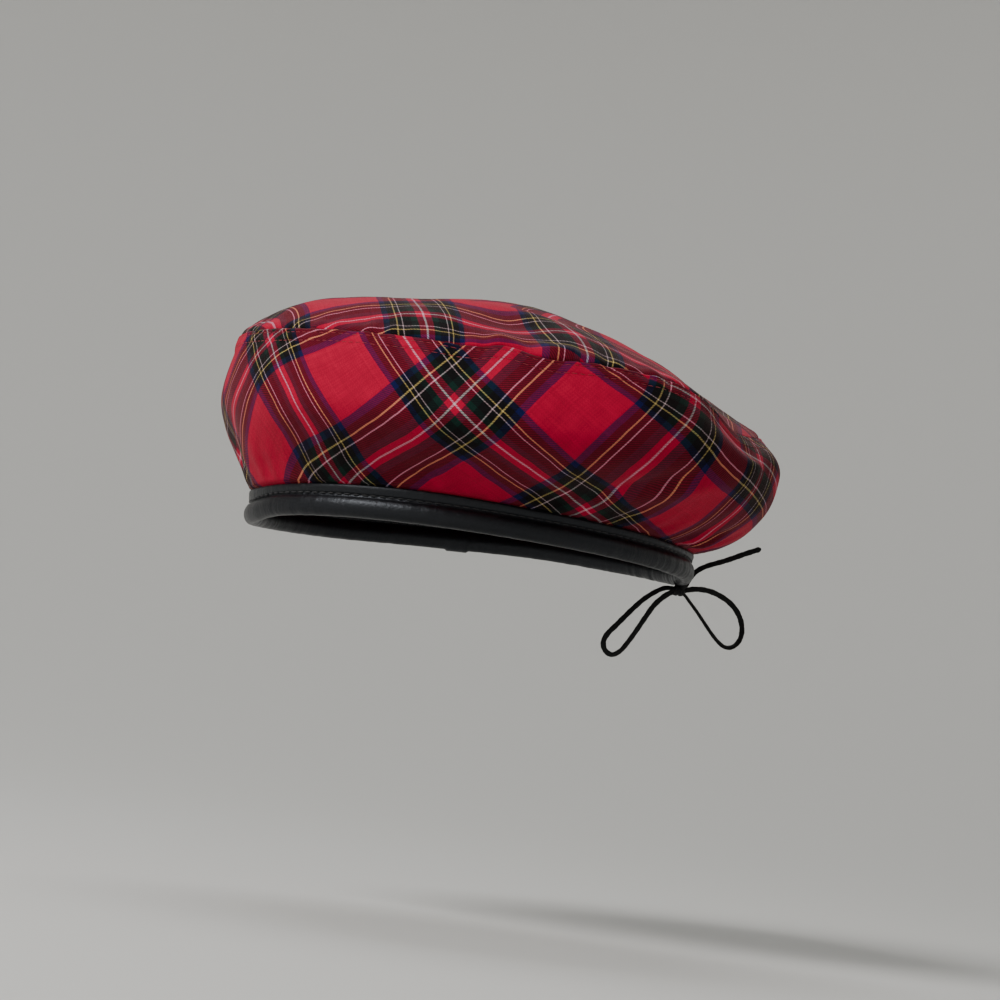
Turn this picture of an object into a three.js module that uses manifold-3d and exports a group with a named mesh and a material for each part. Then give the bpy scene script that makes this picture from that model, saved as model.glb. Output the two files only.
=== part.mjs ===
// A soft tartan beret: a round crown top and a ring-shaped crown side of cloth, a black leather headband
// folded round the cloth's lower edge, and a thin black drawcord tied in a bow at the back.
// Millimetres. The origin is the middle of the head opening at the height of the headband's lowest edge.
// +Z is up, -X is the front of the hat, +X is the back with the bow, -Y is the wearer's left.
import * as THREE from 'three';
import { mergeVertices } from 'three/addons/utils/BufferGeometryUtils.js';
import Module from 'manifold-3d';

const wasm = await Module();
wasm.setup();

// Driving sizes of the headband, measured on its outer face
const bandHalfLength = 101.3;
const bandHalfWidth = 80.5;
const bandMiddleX = 0.8;
const leatherThickness = 1.2;
const slotWidth = 2.4; // between the two leather walls, where the cloth's edge sits
const rollHeight = 9.4; // the casing of the drawcord at the lower edge
const rollBulge = 1.2; // how far the casing stands proud of the walls, on each side
const innerWallDrop = 0.8; // the inner wall ends this far below the outer one
const wallFootGap = 0.4; // between the casing and the foot of each wall
const casingOutside = { from: 60, to: -240 }; // degrees, round the casing from its outer side
const casingInside = { from: -232, to: 52 };

// Driving sizes of the cloth
const clothThickness = 1.6;
const seamGap = 0.2; // from each panel's edge to the line of the crown seam
const crownHeight = 114; // the highest point of the crown top
const bulgeStation = 0.6; // the part of the side panel below its widest point
const clothStart = { outward: 0.6, up: 1.1 }; // from the headband's top edge to the side panel's face
const tuckUps = [-3.2, -0.5, 0.4]; // the rows of the tucked edge, from the headband's top edge

// How full each curve of the crown is, as a part of the distance it spans
const leavingPull = 1.1;
const extraSag = 1; // added where the cloth leaves the headband level
const steepFlare = 40; // degrees; none is added at this slope or above
const bulgePull = 0.85;
const seamLean = 0.15; // how far the side panel leans in as it meets the seam
const shoulderStart = 1.3; // the top's slope at the seam, from the mean slope of its shoulder
const shoulderLimit = 1.9; // and the most it keeps at the end of the shoulder, from the next mean slope

// How finely each ring is divided
const ringSteps = 72;
const sideStations = [0, 0.1, 0.22, 0.35, 0.48, 0.6, 0.72, 0.86, 1];
const topStations = [0, 0.07, 0.15, 0.26, 0.4, 0.58, 0.78];
const rollArcSteps = 7;
const angleNudge = 0.5; // degrees either way, to measure a direction round the hat
const stationNudge = 0.01; // and up it
const seamNudge = 0.03;
const weldDistance = 1e-4;

// The cord and its knot
const cordDiameter = 2;
const cordSides = 8;
const holeDiameter = 2.9;
const holeSpacing = 7.4; // between the two holes, at the middle of the back
const holeSlope = 55; // degrees below level, round the casing's outer lower quarter
const drillLength = 4;
const drillSides = 16;
const knotSize = { x: 6.8, y: 5.6, z: 4.4 };
const knotPlace = { x: 101, y: 1.5, z: -1.9 };
const knotSides = 16;
const knotRings = 10;
const lead = { inside: 2.2, outside: 0.7, apart: 1.2, rise: 0.6 }; // the cord from each hole to the knot

// The headband's lower edge and its height, at angles counted from the back by way of the wearer's right
const bandTable = [
  { angle: 0, lowUp: 1.0, height: 13.6 },
  { angle: 30, lowUp: 4.4, height: 13.5 },
  { angle: 60, lowUp: 7.0, height: 13.5 },
  { angle: 90, lowUp: 5.6, height: 14.0 },
  { angle: 120, lowUp: 2.6, height: 14.5 },
  { angle: 150, lowUp: 1.0, height: 14.5 },
  { angle: 180, lowUp: 0.6, height: 14.6 },
  { angle: 200, lowUp: 3.8, height: 13.4 },
  { angle: 225, lowUp: 5.7, height: 14.0 },
  { angle: 250, lowUp: 6.2, height: 14.3 },
  { angle: 275, lowUp: 5.6, height: 13.6 },
  { angle: 300, lowUp: 4.4, height: 13.4 },
  { angle: 330, lowUp: 2.4, height: 12.8 },
];

// The side panel's sections. flare: the slope at which the cloth leaves the headband, in degrees.
// bulge: the panel's widest point. seam: the line where the side and the top meet.
const sideTable = [
  { angle: 0, flare: 18, bulgeOut: 129, bulgeUp: 55, seamOut: 119.5, seamUp: 71 },
  { angle: 20, flare: 25, bulgeOut: 126, bulgeUp: 53, seamOut: 117, seamUp: 74 },
  { angle: 50, flare: 34, bulgeOut: 121, bulgeUp: 52, seamOut: 114, seamUp: 80 },
  { angle: 90, flare: 42, bulgeOut: 119, bulgeUp: 52.5, seamOut: 112, seamUp: 82 },
  { angle: 130, flare: 50, bulgeOut: 118, bulgeUp: 54, seamOut: 112, seamUp: 82 },
  { angle: 165, flare: 62, bulgeOut: 117, bulgeUp: 57, seamOut: 113.7, seamUp: 82 },
  { angle: 195, flare: 57, bulgeOut: 118, bulgeUp: 56, seamOut: 114, seamUp: 82.5 },
  { angle: 225, flare: 48, bulgeOut: 119.5, bulgeUp: 54, seamOut: 112.5, seamUp: 82.3 },
  { angle: 255, flare: 42, bulgeOut: 120.5, bulgeUp: 53, seamOut: 113, seamUp: 80.2 },
  { angle: 280, flare: 38, bulgeOut: 124, bulgeUp: 52, seamOut: 115, seamUp: 81 },
  { angle: 297, flare: 34, bulgeOut: 127, bulgeUp: 52, seamOut: 117.5, seamUp: 79.5 },
  { angle: 308, flare: 30, bulgeOut: 129, bulgeUp: 52, seamOut: 119.3, seamUp: 73.5 },
  { angle: 319, flare: 22, bulgeOut: 131.5, bulgeUp: 52, seamOut: 121, seamUp: 65.5 },
  { angle: 345, flare: 15, bulgeOut: 132.5, bulgeUp: 52, seamOut: 122, seamUp: 69.7 },
];

// The crown top's sections: its height a little way in from the seam, and halfway to the middle
const topTable = [
  { angle: 0, shoulderUp: 81, halfUp: 102 },
  { angle: 20, shoulderUp: 87, halfUp: 103 },
  { angle: 50, shoulderUp: 94, halfUp: 105.5 },
  { angle: 90, shoulderUp: 95, halfUp: 106.5 },
  { angle: 130, shoulderUp: 94, halfUp: 106 },
  { angle: 165, shoulderUp: 94.5, halfUp: 105.5 },
  { angle: 195, shoulderUp: 95.7, halfUp: 106 },
  { angle: 225, shoulderUp: 95.5, halfUp: 106.5 },
  { angle: 255, shoulderUp: 94, halfUp: 106.5 },
  { angle: 280, shoulderUp: 91, halfUp: 105 },
  { angle: 297, shoulderUp: 88, halfUp: 103 },
  { angle: 308, shoulderUp: 83.5, halfUp: 101.5 },
  { angle: 319, shoulderUp: 78, halfUp: 100 },
  { angle: 345, shoulderUp: 79, halfUp: 100.5 },
];
const shoulderStation = 0.13;
const halfStation = 0.5;

// Dents (negative push) and folds (positive push) of each panel. station runs from the headband to the seam
// on the side, and from the seam to the middle on the top. lean slants a fold, in degrees per whole station.
const sideFolds = [
  { angle: 176, station: 0.22, angleSpread: 7, stationSpread: 0.16, lean: 20, push: -1.8 },
  { angle: 166, station: 0.55, angleSpread: 9, stationSpread: 0.3, lean: 0, push: 1.2 },
  { angle: 292, station: 0.3, angleSpread: 5, stationSpread: 0.2, lean: 60, push: -1.6 },
  { angle: 303, station: 0.34, angleSpread: 6, stationSpread: 0.22, lean: 60, push: 1.4 },
  { angle: 318, station: 0.78, angleSpread: 7, stationSpread: 0.2, lean: -40, push: -2.2 },
  { angle: 335, station: 0.7, angleSpread: 9, stationSpread: 0.3, lean: 0, push: 1.2 },
  { angle: 30, station: 0.4, angleSpread: 8, stationSpread: 0.3, lean: 40, push: -2 },
  { angle: 75, station: 0.3, angleSpread: 8, stationSpread: 0.25, lean: -30, push: -1.4 },
  { angle: 130, station: 0.3, angleSpread: 9, stationSpread: 0.25, lean: 30, push: -1.4 },
];
const topFolds = [
  { angle: 262, station: 0.16, angleSpread: 9, stationSpread: 0.1, lean: 0, push: -3.2 },
  { angle: 245, station: 0.3, angleSpread: 16, stationSpread: 0.14, lean: 0, push: 1 },
  { angle: 330, station: 0.2, angleSpread: 10, stationSpread: 0.14, lean: 60, push: -1.5 },
  { angle: 40, station: 0.25, angleSpread: 14, stationSpread: 0.14, lean: 0, push: -2 },
  { angle: 120, station: 0.2, angleSpread: 14, stationSpread: 0.12, lean: 0, push: -1.4 },
];

// The cord's routes, chosen by hand: two loops that leave the knot and come back, and two free ends
const loopFrontRoute = [
  [97.5, 2.2, -0.9], [94.6, 3.0, -1.0], [90.6, 3.7, -3.4], [86.1, 4.4, -7.2], [82.4, 5.1, -11.4],
  [78.9, 5.8, -15.9], [75.2, 6.5, -20.8], [71.8, 7.2, -25.6], [69.8, 8.0, -29.6], [70.6, 9.0, -33.2],
  [74.2, 10.0, -34.6], [78.2, 10.0, -32.6], [82.0, 9.0, -28.0], [85.2, 7.6, -22.4], [88.4, 6.2, -15.6],
  [91.4, 5.0, -9.4], [95.0, 3.8, -5.0], [97.9, 3.0, -3.4],
];
const loopBackRoute = [
  [104.6, 1.6, -1.3], [108.2, 1.8, 0.4], [112.7, 1.6, 0.8], [117.2, 1.2, 0.3], [121.6, 0.6, -1.2],
  [125.6, -0.1, -3.4], [129.0, -0.9, -6.6], [131.4, -1.7, -10.8], [132.3, -2.6, -15.6], [131.3, -3.4, -20.0],
  [128.6, -3.4, -23.2], [125.0, -2.8, -23.8], [121.4, -2.1, -21.6], [117.8, -1.4, -18.0], [114.0, -0.6, -13.6],
  [110.4, 0.2, -9.4], [107.0, 1.0, -5.8], [104.3, 1.4, -3.8],
];
const endBackRoute = [
  [103.4, 4.2, -0.9], [105.0, 4.8, 1.2], [106.4, 5.1, 4.2], [108.4, 5.2, 7.6], [111.2, 5.1, 10.2],
  [114.6, 4.9, 12.2], [118.2, 4.5, 13.8], [121.9, 4.1, 15.4], [125.8, 3.6, 17.3], [129.8, 3.1, 19.4],
  [133.9, 2.5, 21.4], [138.0, 2.0, 23.3],
];
const endFarRoute = [
  [101.6, 4.9, -1.7], [103.2, 6.6, -1.0], [104.4, 8.8, 0.4], [104.8, 11.8, 2.4], [104.4, 15.2, 4.4],
  [103.3, 18.8, 6.0], [101.9, 22.6, 7.2], [100.1, 26.4, 8.0], [98.0, 30.2, 8.4], [95.7, 33.9, 8.4],
  [93.3, 37.4, 8.0], [90.9, 40.6, 7.2],
];

// Colours and finishes
const clothRed = new THREE.MeshStandardMaterial({ color: 0xb0142a, roughness: 0.85, metalness: 0 });
const clothRedSide = new THREE.MeshStandardMaterial({ color: 0x9c1226, roughness: 0.85, metalness: 0 });
const blackLeather = new THREE.MeshStandardMaterial({ color: 0x15151a, roughness: 0.42, metalness: 0 });
const blackCord = new THREE.MeshStandardMaterial({ color: 0x0a0a0c, roughness: 0.7, metalness: 0 });

// Reads a column at any angle, on a smooth curve that runs through all the rows and closes on itself
function atAngle(table, angle, column) {
  const count = table.length;
  const wrapped = ((angle % 360) + 360) % 360;
  let row = count - 1;
  while (table[row].angle > wrapped) row -= 1;
  const turn = (index) => 360 * Math.floor(index / count);
  const rowAt = (index) => table[((index % count) + count) % count];
  const place = (index) => rowAt(index).angle + turn(index);
  const value = (index) => rowAt(index)[column];
  const step = place(row + 1) - place(row);
  const slopeHere = (value(row + 1) - value(row - 1)) / (place(row + 1) - place(row - 1));
  const slopeNext = (value(row + 2) - value(row)) / (place(row + 2) - place(row));
  const part = (wrapped - place(row)) / step;
  return cubic(value(row), value(row + 1), slopeHere * step, slopeNext * step, part);
}

// A cubic from one value to the next, with the slopes at its two ends
function cubic(from, to, slopeFrom, slopeTo, t) {
  const square = t * t;
  const cube = square * t;
  return (2 * cube - 3 * square + 1) * from + (cube - 2 * square + t) * slopeFrom
    + (3 * square - 2 * cube) * to + (cube - square) * slopeTo;
}

function cubicPoint(from, to, slopeFrom, slopeTo, t) {
  return new THREE.Vector3(
    cubic(from.x, to.x, slopeFrom.x, slopeTo.x, t),
    cubic(from.y, to.y, slopeFrom.y, slopeTo.y, t),
    cubic(from.z, to.z, slopeFrom.z, slopeTo.z, t),
  );
}

// A point of the headband: outward from its outer face, and up from its lower edge
function bandPoint(angle, outward, up) {
  const turn = THREE.MathUtils.degToRad(angle);
  return new THREE.Vector3(
    bandMiddleX + (bandHalfLength + outward) * Math.cos(turn),
    (bandHalfWidth + outward) * Math.sin(turn),
    atAngle(bandTable, angle, 'lowUp') + up,
  );
}

function bandHeight(angle) {
  return atAngle(bandTable, angle, 'height');
}

// A point at a distance from the hat's middle line, in the direction of an angle
function polarPoint(angle, out, up) {
  const turn = THREE.MathUtils.degToRad(angle);
  return new THREE.Vector3(out * Math.cos(turn), out * Math.sin(turn), up);
}

function seamPoint(angle) {
  return polarPoint(angle, atAngle(sideTable, angle, 'seamOut'), atAngle(sideTable, angle, 'seamUp'));
}

// The side panel's outer face: station 0 is just above the headband, 1 is the crown seam
function sidePoint(angle, station) {
  const turn = THREE.MathUtils.degToRad(angle);
  const outward = new THREE.Vector3(Math.cos(turn), Math.sin(turn), 0);
  const upward = new THREE.Vector3(0, 0, 1);
  const start = bandPoint(angle, clothStart.outward, bandHeight(angle) + clothStart.up);
  const bulgeUp = atAngle(sideTable, angle, 'bulgeUp');
  const bulge = polarPoint(angle, atAngle(sideTable, angle, 'bulgeOut'), bulgeUp);
  const seam = seamPoint(angle);
  if (station < bulgeStation) {
    const flare = atAngle(sideTable, angle, 'flare');
    const slope = THREE.MathUtils.degToRad(flare);
    const reach = start.distanceTo(bulge);
    const sag = leavingPull + extraSag * Math.max(0, Math.min(1, (steepFlare - flare) / steepFlare));
    const leaving = outward.clone().multiplyScalar(Math.cos(slope)).addScaledVector(upward, Math.sin(slope));
    return cubicPoint(start, bulge, leaving.multiplyScalar(reach * sag),
      upward.clone().multiplyScalar(reach * bulgePull), station / bulgeStation);
  }
  const reach = bulge.distanceTo(seam);
  const arriving = seam.clone().sub(bulge).addScaledVector(outward, -seamLean * reach);
  return cubicPoint(bulge, seam, upward.clone().multiplyScalar(reach), arriving,
    (station - bulgeStation) / (1 - bulgeStation));
}

// The crown top's outer face: station 0 is the crown seam, 1 is the middle
function topPoint(angle, station) {
  const places = [0, shoulderStation, halfStation, 1];
  const heights = [
    atAngle(sideTable, angle, 'seamUp'), atAngle(topTable, angle, 'shoulderUp'),
    atAngle(topTable, angle, 'halfUp'), crownHeight,
  ];
  const rise = (from) => (heights[from + 1] - heights[from]) / (places[from + 1] - places[from]);
  const width = (from) => places[from + 1] - places[from];
  const meet = (at) => {
    const across = width(at - 1) + width(at);
    return (rise(at - 1) * width(at) + rise(at) * width(at - 1)) / across;
  };
  const slopes = [rise(0) * shoulderStart, Math.min(meet(1), shoulderLimit * rise(1)), meet(2), 0];
  const span = station < shoulderStation ? 0 : station < halfStation ? 1 : 2;
  const [slopeFrom, slopeTo] = [slopes[span], slopes[span + 1]].map((slope) => slope * width(span));
  const part = (station - places[span]) / width(span);
  const up = cubic(heights[span], heights[span + 1], slopeFrom, slopeTo, part);
  return polarPoint(angle, atAngle(sideTable, angle, 'seamOut') * (1 - station), up);
}

// How far a panel's dents and folds push its face out at a place
function foldPush(folds, angle, station) {
  return folds.reduce((sum, fold) => {
    const away = ((angle - fold.angle - fold.lean * (station - fold.station) + 540) % 360) - 180;
    const across = away / fold.angleSpread;
    const along = (station - fold.station) / fold.stationSpread;
    return sum + fold.push * Math.exp(-across * across - along * along);
  }, 0);
}

// Rows of points round the hat, one ring for each station, with the folds pushed out along the face
function ringRows(stations, pointAt, folds) {
  return stations.map((station) => Array.from({ length: ringSteps }, (unused, step) => {
    const angle = (360 * step) / ringSteps;
    const here = pointAt(angle, station);
    const push = foldPush(folds, angle, station);
    const round = pointAt(angle + angleNudge, station).sub(pointAt(angle - angleNudge, station));
    const below = pointAt(angle, Math.max(0, station - stationNudge));
    const rise = pointAt(angle, Math.min(1, station + stationNudge)).sub(below);
    return here.addScaledVector(round.cross(rise).normalize(), push);
  }));
}

// The outward direction at each point of the rows, from its neighbours
function rowNormals(rows) {
  return rows.map((row, level) => row.map((point, step) => {
    const before = row[(step + ringSteps - 1) % ringSteps];
    const after = row[(step + 1) % ringSteps];
    const below = rows[Math.max(0, level - 1)][step];
    const above = rows[Math.min(rows.length - 1, level + 1)][step];
    return after.clone().sub(before).cross(above.clone().sub(below)).normalize();
  }));
}

// Joins rings of points into a skin. Each ring meets the next, and the last meets the first if it closes
function ringSkin(rings, closes) {
  const positions = rings.flat().flatMap((point) => [point.x, point.y, point.z]);
  const faces = [];
  const last = closes ? rings.length : rings.length - 1;
  for (let ring = 0; ring < last; ring += 1) {
    const next = (ring + 1) % rings.length;
    for (let step = 0; step < ringSteps; step += 1) {
      const a = ring * ringSteps + step;
      const b = ring * ringSteps + ((step + 1) % ringSteps);
      const c = next * ringSteps + ((step + 1) % ringSteps);
      const d = next * ringSteps + step;
      faces.push(a, b, c, a, c, d);
    }
  }
  return { positions, faces };
}

function solidGeometry({ positions, faces }) {
  const geometry = new THREE.BufferGeometry();
  geometry.setAttribute('position', new THREE.Float32BufferAttribute(positions, 3));
  geometry.setIndex(faces);
  return geometry;
}

function named(name, geometry, material) {
  const mesh = new THREE.Mesh(geometry, material);
  mesh.name = name;
  geometry.computeVertexNormals();
  return mesh;
}

// The cloth's direction across the crown seam, halfway between the two panels' faces there
function seamNormal(angle) {
  const along = seamPoint(angle + angleNudge).sub(seamPoint(angle - angleNudge));
  const side = seamPoint(angle).sub(sidePoint(angle, 1 - seamNudge));
  const top = topPoint(angle, seamNudge).sub(seamPoint(angle));
  return along.clone().cross(side).normalize().add(along.cross(top).normalize()).normalize();
}

// Crown side: a ring of cloth from between the leather walls, out round the bulge and up to the crown seam
function crownSide() {
  const tuckOutward = -leatherThickness - (slotWidth - clothThickness) / 2;
  const tuck = tuckUps.map((up) => Array.from({ length: ringSteps }, (unused, step) => {
    const angle = (360 * step) / ringSteps;
    return bandPoint(angle, tuckOutward, bandHeight(angle) + up);
  }));
  const rows = [...tuck, ...ringRows(sideStations, sidePoint, sideFolds)];
  const normals = rowNormals(rows);
  const top = rows.length - 1;
  rows[top] = rows[top].map((point, step) => {
    normals[top][step] = seamNormal((360 * step) / ringSteps);
    return point.lerp(rows[top - 1][step], seamGap / point.distanceTo(rows[top - 1][step]));
  });
  const inner = rows.map((row, level) => row.map((point, step) => (
    point.clone().addScaledVector(normals[level][step], -clothThickness))));
  return solidGeometry(ringSkin([...rows, ...inner.reverse()], true));
}

// Crown top: one domed disc of cloth, closed by a point on its outer and its inner face
function crownTop() {
  const rows = ringRows(topStations, topPoint, topFolds);
  const normals = rowNormals(rows);
  rows[0] = rows[0].map((point, step) => {
    normals[0][step] = seamNormal((360 * step) / ringSteps);
    return point.lerp(rows[1][step], seamGap / point.distanceTo(rows[1][step]));
  });
  const inner = rows.map((row, level) => row.map((point, step) => (
    point.clone().addScaledVector(normals[level][step], -clothThickness))));
  const { positions, faces } = ringSkin([...inner.reverse(), ...rows], false);
  const points = positions.length / 3;
  positions.push(0, 0, crownHeight - clothThickness, 0, 0, crownHeight);
  const lastRing = points - ringSteps;
  for (let step = 0; step < ringSteps; step += 1) {
    const next = (step + 1) % ringSteps;
    faces.push(next, step, points);
    faces.push(lastRing + step, lastRing + next, points + 1);
  }
  return solidGeometry({ positions, faces });
}

// The headband's section at an angle, as outward and up pairs: down the outer wall, round the casing, up the
// inner wall, and back along the inside of the fold
function bandSection(angle) {
  const high = bandHeight(angle);
  const across = 2 * leatherThickness + slotWidth;
  const middle = -across / 2;
  const half = rollHeight / 2;
  const arcSteps = { length: rollArcSteps + 1 };
  const arc = (halfAcross, halfUp, { from, to }) => Array.from(arcSteps, (unused, step) => {
    const turn = THREE.MathUtils.degToRad(from + ((to - from) * step) / rollArcSteps);
    return [middle + halfAcross * Math.cos(turn), half + halfUp * Math.sin(turn)];
  });
  const wallFoot = rollHeight + wallFootGap;
  const outside = arc(across / 2 + rollBulge, half, casingOutside);
  const inside = arc(across / 2 + rollBulge - leatherThickness, half - leatherThickness, casingInside);
  return [
    [0, high], [0, wallFoot], ...outside, [-across, wallFoot], [-across, high - innerWallDrop],
    [-across + leatherThickness, high - innerWallDrop], [-across + leatherThickness, wallFoot], ...inside,
    [-leatherThickness, wallFoot], [-leatherThickness, high],
  ];
}

function asManifold(geometry) {
  const bare = geometry.clone();
  bare.deleteAttribute('normal');
  bare.deleteAttribute('uv');
  const merged = mergeVertices(bare, weldDistance);
  return new wasm.Manifold(new wasm.Mesh({
    numProp: 3,
    vertProperties: new Float32Array(merged.getAttribute('position').array),
    triVerts: new Uint32Array(merged.getIndex().array),
  }));
}

function fromManifold(solid) {
  const mesh = solid.getMesh();
  return solidGeometry({ positions: Array.from(mesh.vertProperties), faces: Array.from(mesh.triVerts) });
}

// A round cord along a route
function cordTube(route, diameter = cordDiameter) {
  const curve = new THREE.CatmullRomCurve3(route.map((point) => new THREE.Vector3(...point)));
  const section = new THREE.Shape();
  for (let side = 0; side < cordSides; side += 1) {
    const turn = (2 * Math.PI * side) / cordSides;
    section[side === 0 ? 'moveTo' : 'lineTo'](diameter / 2 * Math.cos(turn), diameter / 2 * Math.sin(turn));
  }
  section.closePath();
  const settings = { steps: route.length - 1, extrudePath: curve, bevelEnabled: false };
  return new THREE.ExtrudeGeometry(section, settings);
}

// The middle of a hole through the casing's outer lower quarter, and the direction it runs
function holeAxis(sideways) {
  const turn = THREE.MathUtils.degToRad(holeSlope);
  const halfAcross = leatherThickness + slotWidth / 2 + rollBulge;
  const half = rollHeight / 2;
  const angle = THREE.MathUtils.radToDeg(Math.asin(sideways / bandHalfWidth));
  const middle = -leatherThickness - slotWidth / 2;
  const at = bandPoint(angle, middle + halfAcross * Math.cos(turn), half - half * Math.sin(turn));
  const direction = new THREE.Vector3(Math.cos(turn) / halfAcross, 0, -Math.sin(turn) / half).normalize();
  return { at, direction };
}

// Headband: the folded leather strip, with the two holes that the cord comes out of
function headband() {
  const rings = Array.from({ length: ringSteps }, (unused, step) => {
    const angle = (360 * step) / ringSteps;
    return bandSection(angle).map(([outward, up]) => bandPoint(angle, outward, up));
  });
  const rows = rings[0].map((unused, index) => rings.map((ring) => ring[index]));
  let solid = asManifold(solidGeometry(ringSkin(rows.reverse(), true)));
  for (const side of [-1, 1]) {
    const { at, direction } = holeAxis((side * holeSpacing) / 2);
    const drill = new THREE.CylinderGeometry(holeDiameter / 2, holeDiameter / 2, drillLength, drillSides);
    drill.applyQuaternion(new THREE.Quaternion().setFromUnitVectors(new THREE.Vector3(0, 1, 0), direction));
    drill.translate(at.x, at.y, at.z);
    solid = solid.subtract(asManifold(drill));
  }
  return fromManifold(solid);
}

// Knot: a flattened lump under the casing, with the cord's two leads going up through the holes
function cordKnot() {
  const lump = new THREE.SphereGeometry(0.5, knotSides, knotRings);
  lump.scale(knotSize.x, knotSize.y, knotSize.z);
  lump.translate(knotPlace.x, knotPlace.y, knotPlace.z);
  let solid = asManifold(lump);
  for (const side of [-1, 1]) {
    const { at, direction } = holeAxis((side * holeSpacing) / 2);
    const insideEnd = at.clone().addScaledVector(direction, -lead.inside);
    const outside = at.clone().addScaledVector(direction, lead.outside);
    const inKnot = [knotPlace.x + lead.rise, knotPlace.y + side * lead.apart, knotPlace.z + lead.rise];
    solid = solid.add(asManifold(cordTube([insideEnd.toArray(), at.toArray(), outside.toArray(), inKnot])));
  }
  return fromManifold(solid);
}

const beret = new THREE.Group();
beret.add(named('crown_top', crownTop(), clothRed));
beret.add(named('crown_side', crownSide(), clothRedSide));
beret.add(named('headband', headband(), blackLeather));
beret.add(named('cord_knot', cordKnot(), blackCord));
beret.add(named('cord_loop_front', cordTube(loopFrontRoute), blackCord));
beret.add(named('cord_loop_back', cordTube(loopBackRoute), blackCord));
beret.add(named('cord_end_back', cordTube(endBackRoute), blackCord));
beret.add(named('cord_end_far', cordTube(endFarRoute), blackCord));

export default beret;
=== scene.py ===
import math
import random

import bmesh
import bpy
import numpy as np
from mathutils import Matrix, Vector, noise


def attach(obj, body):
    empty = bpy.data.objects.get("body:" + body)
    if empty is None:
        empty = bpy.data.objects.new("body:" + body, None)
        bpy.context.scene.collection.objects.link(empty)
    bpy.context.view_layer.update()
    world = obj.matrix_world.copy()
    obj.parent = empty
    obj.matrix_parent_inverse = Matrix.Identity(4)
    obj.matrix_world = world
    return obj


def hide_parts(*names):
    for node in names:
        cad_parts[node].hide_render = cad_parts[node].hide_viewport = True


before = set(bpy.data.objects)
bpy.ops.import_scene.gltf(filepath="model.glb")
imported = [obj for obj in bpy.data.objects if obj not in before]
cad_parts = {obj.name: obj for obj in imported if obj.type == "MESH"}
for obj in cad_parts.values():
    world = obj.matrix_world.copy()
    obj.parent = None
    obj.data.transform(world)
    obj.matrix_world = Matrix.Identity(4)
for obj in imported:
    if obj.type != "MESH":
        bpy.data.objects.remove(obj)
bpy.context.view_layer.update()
mm = 0.001  # the hat's sizes are in millimetres, meshes and the studio in metres
scene = bpy.context.scene
print("frame loaded:", ", ".join(sorted(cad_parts)))


# Camera: 1.5 m from the hat, a little below its rim, tilted as in the photograph
photoCamera = {
    "distance": 1500,
    "elevation": -4.1,  # degrees
    "azimuth": -15,
    "roll": 7.7,
    "pixelsPerMm": 2.24,  # at the hat's origin
    "originAt": (467, 556),  # pixels across and down in the square frame
    "frameWidth": 1000,  # pixels
    "sensor": 36,
    "clip": (0.05, 20),  # metres
}


def makeCamera(settings):
    focal = settings["pixelsPerMm"] * settings["distance"]  # in pixels
    angles = [math.radians(settings[key]) for key in ("elevation", "azimuth", "roll")]
    elevation, azimuth, roll = angles
    level = Vector((math.cos(azimuth), math.sin(azimuth), 0))
    back = Vector((math.sin(azimuth) * math.cos(elevation),
                   -math.cos(azimuth) * math.cos(elevation), math.sin(elevation)))
    upright = back.cross(level)
    right = level * math.cos(roll) + upright * math.sin(roll)
    up = upright * math.cos(roll) - level * math.sin(roll)
    middle = settings["frameWidth"] / 2
    aside = (settings["originAt"][0] - middle) / focal
    above = (middle - settings["originAt"][1]) / focal
    lens = bpy.data.cameras.new("photo_camera")
    lens.sensor_width = settings["sensor"]
    lens.lens = settings["sensor"] * focal / settings["frameWidth"]
    lens.clip_start, lens.clip_end = settings["clip"]
    camera = bpy.data.objects.new("photo_camera", lens)
    turn = Matrix((right, up, back)).transposed().to_4x4()
    turn.translation = (back - right * aside - up * above) * settings["distance"] * mm
    camera.matrix_world = turn
    scene.collection.objects.link(camera)
    scene.camera = camera


makeCamera(photoCamera)
print("camera placed")


# A material, with the values that go on its shader's own sockets
def newMaterial(name, values):
    material = bpy.data.materials.new(name)
    material.use_nodes = True
    shader = material.node_tree.nodes["Principled BSDF"]
    for socket, value in values.items():
        shader.inputs[socket].default_value = value
    return material, material.node_tree, shader


# A node with its settings, and a link or a value for each input, in order or by name
def addNode(tree, kind, inputs=(), **settings):
    node = tree.nodes.new(kind)
    for key, value in settings.items():
        setattr(node, key, value)
    for socket, value in inputs.items() if isinstance(inputs, dict) else enumerate(inputs):
        if isinstance(value, bpy.types.NodeSocket):
            tree.links.new(value, node.inputs[socket])
        elif value is not None:
            node.inputs[socket].default_value = value
    return node


def doMath(tree, operation, *inputs):
    return addNode(tree, "ShaderNodeMath", inputs, operation=operation).outputs[0]


# Turns a share from 0 to 1 into a value from low to high
def between(tree, share, low, high):
    return doMath(tree, "MULTIPLY_ADD", share, high - low, low)


def mixColours(tree, share, first, second, blend="MIX"):
    inputs = {"Factor": share, 6: first, 7: second}  # 6, 7 and the output 2 are colours
    node = addNode(tree, "ShaderNodeMix", inputs, data_type="RGBA", blend_type=blend)
    return node.outputs[2]


def addNoise(tree, place, scale, detail=2.0, roughness=0.5):
    inputs = {"Vector": place, "Scale": scale, "Detail": detail, "Roughness": roughness}
    return addNode(tree, "ShaderNodeTexNoise", inputs).outputs["Fac"]


# The place on the piece's own flat cloth, leather or cord, in metres
def flatPlace(tree):
    return addNode(tree, "ShaderNodeUVMap", uv_map="flat").outputs["UV"]


def splitPlace(tree, place):
    return addNode(tree, "ShaderNodeSeparateXYZ", (place,)).outputs[:2]


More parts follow.
